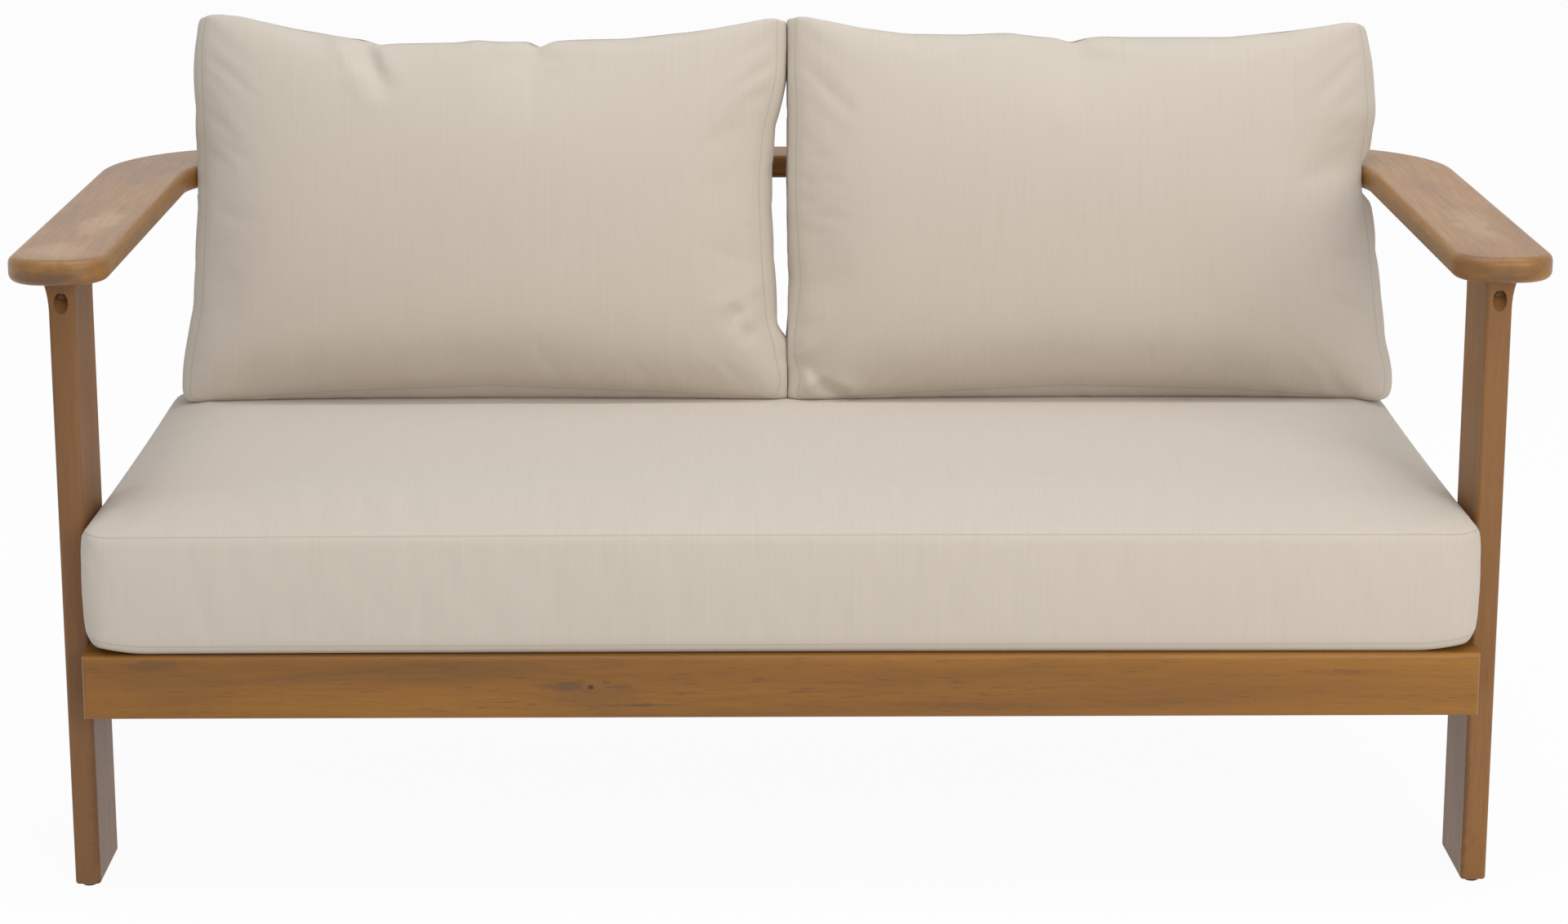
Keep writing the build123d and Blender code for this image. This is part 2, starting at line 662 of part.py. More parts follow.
# From the inner side to the outer side: place along the width, fullness, and pull of the edges
width_shares = [0, 0.02, 0.07, 0.18, 0.34, 0.5, 0.66, 0.82, 0.92, 0.97, 1]
fullness_shares = [0.06, 0.26, 0.52, 0.82, 0.97, 1, 0.97, 0.82, 0.52, 0.3, 0.06]
edge_shares = [0, 0.06, 0.22, 0.6, 0.95, 1, 0.95, 0.6, 0.26, 0.1, 0]


def room_behind(x):
    """Space square to the front seam's plane, back to the rail or the arm's curve."""
    along_curve = max(0, x - arm_curve_x)
    wall_y = arm_curve_y + math.sqrt(arm_inner_radius**2 - along_curve**2)
    return (wall_y - back_wall_gap - seam_at_rail_y) * math.cos(lean)


def bow(start, middle, stop, chords):
    """An arc, or that many chords of it."""
    if chords == 0:
        ThreePointArc(start, middle, stop)
    else:
        arc = ThreePointArc(start, middle, stop, mode=Mode.PRIVATE)
        Polyline(*[arc @ (i / chords) for i in range(chords + 1)])


def back_section(x, room, fullness, pull, inset, chords):
    border = min(back_cushion_border, room) - 2 * inset
    rear_bulge = max(min(back_rear_bulge * fullness, room - 2 * inset - border), cushion_clearance)
    foot_rise = (back_foot_arch * pull + inset) / math.cos(lean)
    up = Vector(math.sin(lean), math.cos(lean))
    out = Vector(math.cos(lean), -math.sin(lean))
    front_foot = Vector(seam_foot_y + inset / math.cos(lean), back_foot_z) + up * foot_rise
    rear_foot = front_foot + Vector(border / math.cos(lean), 0)
    front_top = front_foot + up * (back_cushion_height - back_top_sag * pull - inset - foot_rise)
    rear_top = front_top + out * border
    front_middle = (front_foot + front_top) * 0.5 - out * back_front_bulge * fullness
    rear_middle = (rear_foot + rear_top) * 0.5 + out * rear_bulge
    with BuildSketch(Plane.YZ.offset(x)) as section:
        with BuildLine():
            Line(front_foot, rear_foot)
            bow(rear_foot, rear_middle, rear_top, chords)
            Line(rear_top, front_top)
            bow(front_top, front_middle, front_foot, chords)
        make_face()
    return section.sketch


def back_pad(inset, chords):
    """The right-hand back cushion's form, shrunk all round by the inset."""
    sections = []
    for width_share, fullness, pull in zip(width_shares, fullness_shares, edge_shares):
        full_x = back_inner_x + width_share * back_cushion_width
        x = min(max(full_x, back_inner_x + inset), back_outer_x - inset)
        sections.append(back_section(x, room_behind(full_x), fullness, pull, inset, chords))
    with BuildPart() as pad:
        loft(sections, ruled=True)
    return pad.part


with BuildPart() as back_cushion_cover:
    add(back_pad(0, 0))
    add(back_pad(cover_wall, inner_chord_count), mode=Mode.SUBTRACT)
write_pair(back_cushion_cover.part, "back_cushion_cover")
write_pair(back_pad(cover_wall + insert_gap, inner_chord_count), "back_cushion_filling")
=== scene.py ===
import math

import bpy
import numpy as np
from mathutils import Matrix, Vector, bvhtree, noise


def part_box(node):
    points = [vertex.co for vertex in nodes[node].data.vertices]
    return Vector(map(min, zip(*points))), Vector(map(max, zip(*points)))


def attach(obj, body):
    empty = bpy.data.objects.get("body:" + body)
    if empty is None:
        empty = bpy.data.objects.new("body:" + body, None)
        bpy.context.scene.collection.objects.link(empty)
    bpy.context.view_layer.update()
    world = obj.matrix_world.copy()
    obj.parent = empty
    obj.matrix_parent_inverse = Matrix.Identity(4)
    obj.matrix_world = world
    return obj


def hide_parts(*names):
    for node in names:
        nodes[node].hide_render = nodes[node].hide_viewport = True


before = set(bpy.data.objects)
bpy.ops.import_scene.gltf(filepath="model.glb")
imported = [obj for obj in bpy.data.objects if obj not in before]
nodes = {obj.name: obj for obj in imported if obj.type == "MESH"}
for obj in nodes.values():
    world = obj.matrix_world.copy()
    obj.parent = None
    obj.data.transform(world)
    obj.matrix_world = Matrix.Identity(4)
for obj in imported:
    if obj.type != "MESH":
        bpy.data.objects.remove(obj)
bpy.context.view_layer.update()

# Metres, in the part's own frame: +Z up, the front faces -Y.
MILLIMETRE = 0.001


def mm(value):
    return value * MILLIMETRE


# Sizes read from the frame
arm_low, arm_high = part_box("arm_right")
rail_low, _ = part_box("back_rail")
seat_low, seat_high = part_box("seat_cushion_cover")
back_low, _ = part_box("back_cushion_cover_right")

arm_width = mm(98)
arm_inner_x = arm_high.x - arm_width
arm_inner_radius = mm(105)
arm_curve_x = arm_inner_x - arm_inner_radius
arm_curve_y = rail_low.y - arm_inner_radius


# ---------------------------------------------------------------- materials
class Signal:
    """A node's output that takes Python's arithmetic, adding the Math node for each step."""

    def __init__(self, finish, socket):
        self.finish = finish
        self.socket = socket

    def math(self, operation, *values):
        return self.finish.math(operation, *values)

    def __add__(self, other):
        return self.math("ADD", self, other)

    def __radd__(self, other):
        return self.math("ADD", other, self)

    def __sub__(self, other):
        return self.math("SUBTRACT", self, other)

    def __rsub__(self, other):
        return self.math("SUBTRACT", other, self)

    def __mul__(self, other):
        return self.math("MULTIPLY", self, other)

    def __rmul__(self, other):
        return self.math("MULTIPLY", other, self)

    def __pow__(self, other):
        return self.math("POWER", self, other)

    def between(self, low, high):
        """0 below low, 1 above high, smooth in between."""
        settings = {"interpolation_type": "SMOOTHSTEP"}
        values = {"Value": self, "From Min": low, "From Max": high}
        return self.finish.node("ShaderNodeMapRange", settings, values)

    def sine(self):
        return self.math("SINE", self)

    def length_with(self, *others):
        total = self * self
        for other in others:
            total = total + other * other
        return total.math("SQRT", total)


class Finish:
    """A material and its node tree, with a Principled shader at its end."""

    def __init__(self, name, roughness=0.5, metallic=0.0, sheen=0.0, specular=0.5, tree=None):
        if tree:
            self.tree = tree
            return
        self.material = bpy.data.materials.new(name)
        self.material.use_nodes = True
        self.tree = self.material.node_tree
        self.shader = self.tree.nodes["Principled BSDF"]
        self.shader.inputs["Roughness"].default_value = roughness
        self.shader.inputs["Metallic"].default_value = metallic
        self.shader.inputs["Sheen Weight"].default_value = sheen
        self.shader.inputs["Specular IOR Level"].default_value = specular

    def node(self, kind, settings=None, values=None, output=0):
        made = self.tree.nodes.new(kind)
        for key, setting in (settings or {}).items():
            if key == "stops":
                self.set_stops(made.color_ramp, setting)
            else:
                setattr(made, key, setting)
        for key, value in (values or {}).items():
            self.put(self.socket(made.inputs, key), value)
        return Signal(self, self.socket(made.outputs, output))

    def math(self, operation, *values):
        return self.node("ShaderNodeMath", {"operation": operation}, dict(enumerate(values)))

    def socket(self, sockets, key):
        if isinstance(key, int):
            return sockets[key]
        named = [s for s in sockets if s.identifier == key or (s.name == key and s.enabled)]
        return named[0]

    def put(self, socket, value):
        if isinstance(value, Signal):
            self.tree.links.new(value.socket, socket)
        else:
            socket.default_value = value

    def set_stops(self, ramp, stops):
        while len(ramp.elements) < len(stops):
            ramp.elements.new(0.5)
        for element, (place, colour) in zip(ramp.elements, stops):
            element.position = place
            element.color = colour

    def place(self, move=(0, 0, 0), scale=(1, 1, 1)):
        """The object's own coordinates in metres, moved and then stretched."""
        point = self.node("ShaderNodeTexCoord", output="Object")
        values = {"Vector": point, "Location": move, "Scale": scale}
        return self.node("ShaderNodeMapping", values=values)

    def axis(self, point, name):
        return self.node("ShaderNodeSeparateXYZ", values={0: point}, output=name)

    def clouds(self, point, scale, detail=3.0, rough=0.55, distortion=0.0):
        values = {
            "Vector": point,
            "Scale": scale,
            "Detail": detail,
            "Roughness": rough,
            "Distortion": distortion,
        }
        return self.node("ShaderNodeTexNoise", values=values, output="Fac")

    def blend(self, amount, first, second, kind="MIX"):
        settings = {"data_type": "RGBA", "blend_type": kind}
        values = {"Factor_Float": amount, "A_Color": first, "B_Color": second}
        return self.node("ShaderNodeMix", settings, values, output="Result_Color")

    def ramp(self, amount, stops):
        return self.node("ShaderNodeValToRGB", {"stops": stops}, {0: amount}, output="Color")

    def colour(self, value):
        self.put(self.shader.inputs["Base Color"], value)

    def rough(self, value):
        self.put(self.shader.inputs["Roughness"], value)

    def bump(self, height, strength, distance):
        values = {"Strength": strength, "Distance": distance, "Height": height}
        bumped = self.node("ShaderNodeBump", values=values, output="Normal")
        self.put(self.shader.inputs["Normal"], bumped)


def srgb(red, green, blue):
    """A colour given as it looks on a screen, from 0 to 255, made linear."""
    linear = []
    for value in (red, green, blue):
        share = value / 255
        linear.append(share / 12.92 if share <= 0.04045 else ((share + 0.055) / 1.055) ** 2.4)
    return (*linear, 1.0)


stretch_along = {"x": (0.055, 1, 1), "y": (1, 0.055, 1), "z": (1, 1, 0.055)}
smoky = srgb(86, 62, 42)
brown = srgb(96, 62, 34)
# pale tone laid on the arm tops as a painted sheen
painted_sheen_tone = srgb(190, 156, 120)
# dark tone for end grain, and for painted shade on the inner faces of arms and legs
end_grain_and_shade_tone = srgb(92, 60, 32)
fibre_tone = srgb(84, 54, 30)
pore_tone = srgb(70, 44, 26)


def acacia(name, along, seed, tone=1.0, stains_and_painted_light=(), oil=0.12):
    """Oiled acacia: soft bands and smoky streaks along the board, fine fibres and short pores.

    The share of oil left on top is higher where hands have polished the board.
    """
    wood = Finish(name, specular=0.25 + oil)
    wood.shader.inputs["IOR"].default_value = 1.52
    wood.shader.inputs["Coat Weight"].default_value = oil
    wood.shader.inputs["Coat Roughness"].default_value = 0.38
    shift = (seed * 1.37, seed * 0.71, seed * 2.13)
    board = wood.place(shift, stretch_along[along])
    figure = wood.clouds(board, 9, detail=3, rough=0.5, distortion=0.5)
    wave = wood.clouds(board, 4, detail=2, rough=0.45, distortion=0.3)
    bands = ((wave * 60).sine() * 0.5 + 0.5) ** 2.0
    fibres = wood.clouds(board, 260, detail=2, rough=0.6)
    smoke = wood.clouds(board, 22, detail=4, rough=0.6, distortion=0.8).between(0.56, 0.74)
    pores = wood.clouds(board, 700, detail=1, rough=0.5).between(0.62, 0.74)
    light = srgb(176 * tone, 121 * tone, 42 * tone)
    middle = srgb(153 * tone, 101 * tone, 27 * tone)
    dark = srgb(118 * tone, 74 * tone, 18 * tone)
    base = wood.ramp(figure, [(0.3, dark), (0.5, middle), (0.7, light)])
    base = wood.blend(bands * 0.2, base, dark)
    base = wood.blend(smoke * 0.3, base, smoky)
    base = wood.blend((fibres - 0.5) * 0.5 + 0.12, base, fibre_tone)
    base = wood.blend(pores * 0.35, base, pore_tone)
    # the patches hold real stains and knots, and on the arms and legs also painted sheen and
    # painted shade
    for place, size, strength, colour in stains_and_painted_light:
        base = wood.blend(soft_patch_mask(wood, place, size) * strength, base, colour)
    wood.colour(base)
    wood.rough(0.36 + fibres * 0.16)
    wood.bump(fibres * 0.6 - pores, 0.25, mm(0.25))
    return wood.material


def soft_patch_mask(wood, place, size):
    """A soft blot at a place, 1 in the middle and 0 past its half sizes, with a ragged edge."""
    point = wood.place([-mm(c) for c in place])
    grain = wood.place(scale=(0.35, 0.35, 1.0))
    ragged = wood.clouds(grain, 1.6 / mm(max(min(size), 4)), detail=4, rough=0.6) - 0.5
    parts = [wood.axis(point, name) * (1 / mm(half)) for name, half in zip("XYZ", size)]
    spread = parts[0].length_with(parts[1], parts[2])
    return 1 - (spread + ragged * 1.6).between(0.25, 1.05)


# Blots seen in the photo: place and half sizes in mm, strength, colour
front_face = -343
apron_stains = [
    ((-214, front_face, 228), (36, 20, 7), 0.65, smoky),
    ((-190, front_face, 218), (60, 20, 20), 0.3, smoky),
    ((-160, front_face, 227), (20, 20, 4), 0.4, smoky),
    ((-174, front_face, 232), (6, 20, 4), 0.5, smoky),
    ((-140, front_face, 208), (62, 20, 2.2), 0.5, smoky),
    ((-138, front_face, 208), (14, 20, 2.6), 0.6, srgb(88, 54, 60)),
    ((-188.5, front_face, 227), (4.5, 20, 3.2), 0.95, srgb(70, 36, 34)),
    ((-100, front_face, 221), (30, 20, 1.8), 0.35, brown),
    ((-617, front_face, 250), (46, 20, 8), 0.45, smoky),
    ((-600, front_face, 222), (80, 20, 30), 0.2, smoky),
    ((-22, front_face, 235), (9, 20, 1.8), 0.45, brown),
    ((190, front_face, 206), (85, 20, 5), 0.3, brown),
    ((560, front_face, 240), (60, 20, 5), 0.2, brown),
]
left_arm_stains_and_painted_light = [
    ((-731, -95, 655), (22, 75, 20), 0.38, smoky),
    # painted sheen: the pale patches on the arm top
    ((-690, -126, 655), (24, 90, 20), 0.32, painted_sheen_tone),
    ((-705, -280, 655), (40, 50, 20), 0.3, painted_sheen_tone),
    ((-681, -56, 655), (5, 13, 20), 0.5, smoky),
    ((-697, 175, 655), (50, 110, 20), 0.4, brown),
    # the front end is darkened as end grain with painted shade; the strip along the inner side is
    # painted shade
    ((-701, -345, 636), (80, 30, 18), 0.85, end_grain_and_shade_tone),
    ((-652, -150, 636), (10, 200, 15), 0.35, end_grain_and_shade_tone),
]
right_arm_stains_and_painted_light = [
    ((672, -318, 650), (30, 24, 20), 0.35, brown),
    # painted sheen: the pale patch on the arm top
    ((700, -150, 655), (24, 110, 20), 0.3, painted_sheen_tone),
    ((690, 60, 655), (30, 50, 20), 0.22, brown),
    # the front end is darkened as end grain with painted shade; the strip along the inner side is
    # painted shade
    ((701, -345, 636), (75, 26, 17), 0.6, end_grain_and_shade_tone),
    ((652, -150, 636), (10, 200, 15), 0.35, end_grain_and_shade_tone),
]
# The legs are greyer than the other boards all over, and get painted shade on their inner faces
# near the floor
greyed = srgb(124, 94, 80)
leg_tone_and_painted_shade = []
for side in (-1, 1):
    leg_tone_and_painted_shade.append(((side * 690, -285, 330), (300, 400, 1500), 0.42, greyed))
    leg_tone_and_painted_shade.append(((side * 690, -285, 100), (7, 70, 120), 0.4, end_grain_and_shade_tone))


def linen(name, red, green, blue):
    """Woven outdoor cloth with slubs that run up and down."""
    cloth = Finish(name, roughness=0.92, sheen=0.25, specular=0.2)
    cloth.shader.inputs["Sheen Roughness"].default_value = 0.6
    warp = cloth.place(scale=(1, 0.04, 0.04))
    weft = cloth.place(scale=(0.06, 1, 1))
    slubs = cloth.clouds(warp, 330, detail=3, rough=0.7)
    rows = cloth.clouds(weft, 420, detail=2, rough=0.7)
    patches = cloth.clouds(cloth.place(), 7, detail=3, rough=0.5)
    base = srgb(red, green, blue)
    slub_tone = srgb(red * 0.9, green * 0.89, blue * 0.87)
    row_tone = srgb(red * 0.93, green * 0.92, blue * 0.9)
    patch_tone = srgb(red * 0.96, green * 0.95, blue * 0.93)
    streaked = cloth.blend((slubs - 0.35) * 0.5, base, slub_tone)
    woven = cloth.blend((rows - 0.4) * 0.25, streaked, row_tone)
    toned = cloth.blend(patches * 0.25, woven, patch_tone)
    seam = cloth.node("ShaderNodeAttribute", {"attribute_name": "seam"}, output="Fac")
    # painted shade: a thin darker line along each seam, where its groove lies
    seam_groove_shade = seam.between(0.82, 0.99) * 0.22
    cloth.colour(cloth.blend(seam_groove_shade, toned, srgb(red * 0.62, green * 0.58, blue * 0.52)))
    cloth.bump(slubs + rows, 0.22, mm(0.35))
    return cloth.material


def plain(name, colour, roughness, metallic=0.0, specular=0.5):
    made = Finish(name, roughness=roughness, metallic=metallic, specular=specular)
    made.colour(colour)
    return made.material


# ---------------------------------------------------------------- wooden frame
def dress(names, material):
    for name in names:
        mesh = nodes[name].data
        mesh.materials.clear()
        mesh.materials.append(material)


def named(prefix):
    return [name for name in nodes if name.startswith(prefix)]


dress(["arm_left"], acacia("acacia_arm_left", "y", 3.1, 0.9, left_arm_stains_and_painted_light, oil=0.27))
dress(["arm_right"], acacia("acacia_arm_right", "y", 5.4, 0.9, right_arm_stains_and_painted_light, oil=0.21))
dress(["back_rail"], acacia("acacia_rail", "x", 7.7, 0.96, oil=0.04))
dress(["apron_front"], acacia("acacia_front_apron", "x", 1.3, 1.0, apron_stains))
dress(["apron_back"], acacia("acacia_back_apron", "x", 9.2, 0.96))
dress(["front_leg_left"], acacia("acacia_leg_left", "z", 2.2, 0.87, leg_tone_and_painted_shade, oil=0.0))
dress(["front_leg_right"], acacia("acacia_leg_right", "z", 4.9, 0.95, leg_tone_and_painted_shade, oil=0.0))
dress(["back_leg_left", "back_leg_right"], acacia("acacia_back_legs", "z", 6.4, 0.93))
dress(named("ledger_front") + named("ledger_back"), acacia("acacia_ledgers", "x", 8.8, 0.94))
dress(named("apron_side") + ["center_bearer"], acacia("acacia_cross_boards", "y", 0.7, 0.95))
dress(named("corner_block"), acacia("acacia_blocks", "x", 10.3, 0.9))
# no two slats have the same figure or quite the same tone
for count, name in enumerate(sorted(named("seat_slat_0") + named("seat_slat_1"))):
    tone = 0.95 + 0.03 * math.sin(count * 2.1)
    dress([name], acacia("acacia_" + name, "y", 11 + count * 0.61, tone))
for count, name in enumerate(sorted(named("back_slat_0") + named("back_slat_1"))):
    tone = 0.96 + 0.03 * math.sin(count * 1.7)
    dress([name], acacia("acacia_" + name, "z", 21 + count * 0.47, tone))

dress(["frame_dowels", "back_slat_dowels"], plain("beech", srgb(205, 170, 125), 0.6))
steel = plain("zinc_steel", srgb(196, 194, 188), 0.3, metallic=1.0)
dress(named("seat_slat_screws") + ["ledger_screws", "corner_block_screws", "arm_screws"], steel)
dress(["leg_bolts", "bolt_washers", "leg_inserts"], steel)
dress(["foot_glides"], plain("glide_plastic", srgb(74, 40, 30), 0.5))
fabric = linen("cream_linen", 206, 195, 181)


# ---------------------------------------------------------------- cushions
def deselect():
    if bpy.context.object and bpy.context.object.mode != "OBJECT":
        bpy.ops.object.mode_set(mode="OBJECT")
    bpy.ops.object.select_all(action="DESELECT")


def take(made):
    """Make this the one selected and active object."""
    deselect()
    made.select_set(True)
    bpy.context.view_layer.objects.active = made


def box_grid(name, columns, rows, layers):
    """A closed box from -1 to 1 on every axis: a grid, extruded upwards in layers."""
    deselect()
    bpy.ops.mesh.primitive_grid_add(
        x_subdivisions=columns, y_subdivisions=rows, size=2, location=(0, 0, -1)
    )
    made = bpy.context.object
    made.name = name
    bpy.ops.object.mode_set(mode="EDIT")
    for _ in range(layers):
        bpy.ops.mesh.extrude_region_move(TRANSFORM_OT_translate={"value": (0, 0, 2 / layers)})
    bpy.ops.object.mode_set(mode="OBJECT")
    bpy.ops.object.transform_apply(location=True, rotation=True, scale=True)
    return made


def points_of(made):
    flat = np.empty(len(made.data.vertices) * 3)
    made.data.vertices.foreach_get("co", flat)
    return flat.reshape(-1, 3)


def set_points(made, points):
    made.data.vertices.foreach_set("co", np.ascontiguousarray(points, float).ravel())
    made.data.update()


def face_outwards(made):
    take(made)
    bpy.ops.object.mode_set(mode="EDIT")
    bpy.ops.mesh.select_all(action="SELECT")
    bpy.ops.mesh.normals_make_consistent(inside=False)
    bpy.ops.object.mode_set(mode="OBJECT")


spare_cloth = 0.004  # how much larger than its shape each cover is cut
seam_depth = mm(0.6)


def puff(made, held, pressure, cap, frames=20):
    """Cloth blown up from within and held along its seams, where no point moves past the cap."""
    start = points_of(made)
    seams = made.vertex_groups.new(name="held")
    seams.add([int(i) for i in np.nonzero(held)[0]], 1.0, "REPLACE")
    cloth = made.modifiers.new("cloth", "CLOTH")
    cloth.settings.quality = 6
    cloth.settings.mass = 0.25
    cloth.settings.tension_stiffness = 14
    cloth.settings.compression_stiffness = 14
    cloth.settings.shear_stiffness = 6
    cloth.settings.bending_stiffness = 0.4
    cloth.settings.vertex_group_mass = "held"
    cloth.settings.use_pressure = True
    cloth.settings.uniform_pressure_force = pressure
    cloth.settings.shrink_min = -spare_cloth
    cloth.settings.effector_weights.gravity = 0
    cloth.point_cache.frame_start = 1
    cloth.point_cache.frame_end = frames
    for number in range(1, frames + 1):
        bpy.context.scene.frame_set(number)
    shown = made.evaluated_get(bpy.context.evaluated_depsgraph_get())
    flat = np.empty(len(made.data.vertices) * 3)
    shown.data.vertices.foreach_get("co", flat)
    moved = flat.reshape(-1, 3) - start
    made.modifiers.remove(cloth)
    made.vertex_groups.remove(seams)
    bpy.context.scene.frame_set(1)
    far = np.linalg.norm(moved, axis=1, keepdims=True) + 1e-9
    set_points(made, start + moved / far * cap * np.tanh(far / cap))


def refine(made, seam):
    """One subdivision. The seam keeps a number on every point: 1 on it, 0 two cells away."""
    line = made.data.attributes.new("seam", "FLOAT", "POINT")
    line.data.foreach_set("value", seam.astype(np.float32))
    take(made)
    finer = made.modifiers.new("finer", "SUBSURF")
    finer.levels = finer.render_levels = 1
    bpy.ops.object.modifier_apply(modifier="finer")
    bpy.ops.object.shade_smooth()
    near = np.empty(len(made.data.vertices), np.float32)
    made.data.attributes["seam"].data.foreach_get("value", near)
    normals = np.empty(len(made.data.vertices) * 3, np.float32)
    made.data.vertices.foreach_get("normal", normals)
    sunk = np.clip(near, 0, 1)[:, None] ** 2 * seam_depth
    set_points(made, points_of(made) - normals.reshape(-1, 3) * sunk)


def ripple(points, length, seed):
    """Smooth noise at each point, from about -1 to 1, with bumps about this long."""
    shift = Vector((seed * 3.7, seed * 1.9, seed * 5.3))
    return np.array([noise.noise(Vector(p) / length + shift) for p in points])


def ease(x, low, high):
    """0 below low, 1 above high, smooth in between."""
    share = np.clip((x - low) / (high - low), 0, 1)
    return share * share * (3 - 2 * share)


def hand_line(keys, x, soft=0.02):
    """A smooth line through given (place, height) pairs."""
    places, heights = zip(*keys)
    nearby = (-1, -0.5, 0, 0.5, 1)
    return sum(np.interp(x + soft * share, places, heights) for share in nearby) / len(nearby)


# A fold's banks: how far out in fold widths, and how high as a share of its depth
bank_place, bank_height = 2.1, 0.35
fold_fade = 0.75  # share of its depth that a fold loses on its way


def fold(across, tall, path, width, depth):
    """A crease along a path of (across, tall) points, deepest at its first point."""
    sunk = np.zeros(len(across))
    steps = len(path) - 1
    for step in range(steps):
        (ax, ay), (bx, by) = path[step], path[step + 1]
        run = (bx - ax) ** 2 + (by - ay) ** 2
        share = np.clip(((across - ax) * (bx - ax) + (tall - ay) * (by - ay)) / run, 0, 1)
        away = np.hypot(across - ax - share * (bx - ax), tall - ay - share * (by - ay))
        fade = 1 - (step + share) / steps * fold_fade
        trough = np.exp(-((away / width) ** 2))
        banks = np.exp(-(((away - bank_place * width) / width) ** 2))
        groove = (trough - bank_height * banks) * fade
        sunk = np.where(np.abs(groove) > np.abs(sunk), groove, sunk)
    return sunk * depth


def rounded(u, v, half_x, half_y, corner):
    """Square corners of a grid drawn in to round ones."""
    x, y = u * half_x, v * half_y
    over_x = np.maximum(np.abs(x) - (half_x - corner), 0)
    over_y = np.maximum(np.abs(y) - (half_y - corner), 0)
    reach = np.hypot(over_x, over_y)
    shrink = np.where(reach > 0, np.maximum(over_x, over_y) / np.maximum(reach, 1e-9), 1)
    x = np.sign(x) * (np.minimum(np.abs(x), half_x - corner) + over_x * shrink)
    y = np.sign(y) * (np.minimum(np.abs(y), half_y - corner) + over_y * shrink)
    return x, y


def finish_cushion(made, body, replaced):
    """Cover it in fabric, set it on its body and hide the nodes it replaces, its filling among
    them.
    """
    made.data.materials.clear()
    made.data.materials.append(fabric)
    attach(made, body)
    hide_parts(*replaced)


# Seat cushion. The grid's layers are the rows of points between its foot and its top seam.
seat_columns, seat_rows, seat_layers = 140, 62, 12
seat_corner_radius = mm(26)
seat_side_pull = mm(3)
seat_border_belly = mm(2.5)
seat_foot_tuck = mm(7)
seat_foot_height = mm(9)
seat_corner_lift = mm(7)
seat_lift_along_side, seat_lift_along_front = mm(80), mm(60)
seat_crown_share = 0.94  # the cloth swells by the rest
seat_wave_length, seat_wave_height = mm(170), mm(1.6)
seat_pressure, seat_puff_limit = 3.0, mm(5)
seat_play = mm(0.6)
seat_front_play = mm(4)
stand_drop = mm(0.7)
stand_starts, stand_ends = mm(40), mm(5)
seat_half = seat_high.x - mm(1)
seat_front, seat_rear = seat_low.y + mm(2), seat_high.y - mm(1)
seat_depth = seat_rear - seat_front
seat_seam_z = seat_low.z + mm(122)
seat_crown = seat_high.z - seat_seam_z
seat_foot_z = seat_low.z + seat_foot_height
crown_steps = [0, 0.45, 0.62, 0.765, 0.9, 1.0]
side_steps = [mm(v) for v in (0, 17, 40, 86, 192, 352)]
front_steps = [mm(v) for v in (0, 22, 50, 90, 138, 198)]
rear_steps = [mm(v) for v in (0, 23, 51, 114, 160, 217)]


def crown_rise(x, y):
    """Share of the crown above the top seam, from how far each edge is."""
    by_side = np.interp(seat_half - np.abs(x), side_steps, crown_steps)
    by_front = np.interp(y - seat_front, front_steps, crown_steps)
    by_rear = np.interp(seat_rear - y, rear_steps, crown_steps)
    return np.minimum(np.minimum(by_side, by_front), by_rear)


def make_seat():
    """A boxed cushion with a crowned top, drawn-in sides and a seam round top and foot."""
    seat = box_grid("seat_cushion", seat_columns, seat_rows, seat_layers)
    u, v, w = points_of(seat).T
    x, y = rounded(u, v, seat_half, seat_depth / 2, seat_corner_radius)
    x *= 1 - seat_side_pull / seat_half * (1 - v**2)
    y += seat_front + seat_depth / 2 - seat_side_pull * (1 - u**2) * v
    at_side, at_end = np.abs(u) > 0.999, np.abs(v) > 0.999
    rim, top, bottom = at_side | at_end, w > 0.999, w < -0.999
    # two rows of points lie on the seams, the others stand between them
    level = (w + 1) / 2 * seat_layers
    z = np.interp(level, [0, 1, seat_layers], [seat_low.z, seat_foot_z, seat_seam_z])
    between = np.clip((z - seat_foot_z) / (seat_seam_z - seat_foot_z), 0, 1)
    tucked = np.clip((seat_foot_z - z) / seat_foot_height, 0, 1)
    out_by = np.sin(np.pi * between) * seat_border_belly - tucked * seat_foot_tuck
    x += np.sign(u) * at_side * out_by
    y += np.sign(v) * at_end * out_by
    # the front corners lift a little at the foot
    lift = ease(np.abs(x), seat_half - seat_lift_along_front, seat_half)
    lift = lift * ease(-y, -seat_front - seat_lift_along_side, -seat_front)
    z += lift * seat_corner_lift * (1 - (z - seat_low.z) / (seat_seam_z - seat_low.z))
    z += top * seat_crown * crown_rise(x, y) * seat_crown_share
    points = np.stack([x, y, z], 1)
    waves = ripple(points, seat_wave_length, 2) * seat_wave_height
    points[:, 2] += top * waves * crown_rise(x, y)
    set_points(seat, points)
    face_outwards(seat)
    seam = rim & (top | (np.abs(level - 1) < 0.01))
    puff(seat, bottom | seam, seat_pressure, seat_puff_limit)
    refine(seat, seam)
    points = points_of(seat)
    # level where the back cushions stand, and never above the solid's crown
    stand = ease(points[:, 1], back_foot_y - stand_starts, back_foot_y - stand_ends)
    level_z = back_low.z - stand_drop
    points[:, 2] += np.minimum(level_z - points[:, 2], 0) * stand
    points[:, 2] = np.clip(points[:, 2], seat_low.z, seat_high.z)
    points[:, 0] = np.clip(points[:, 0], -seat_half - seat_play, seat_half + seat_play)
    points[:, 1] = np.clip(points[:, 1], seat_low.y - seat_front_play, seat_high.y)
    set_points(seat, points)
    return seat


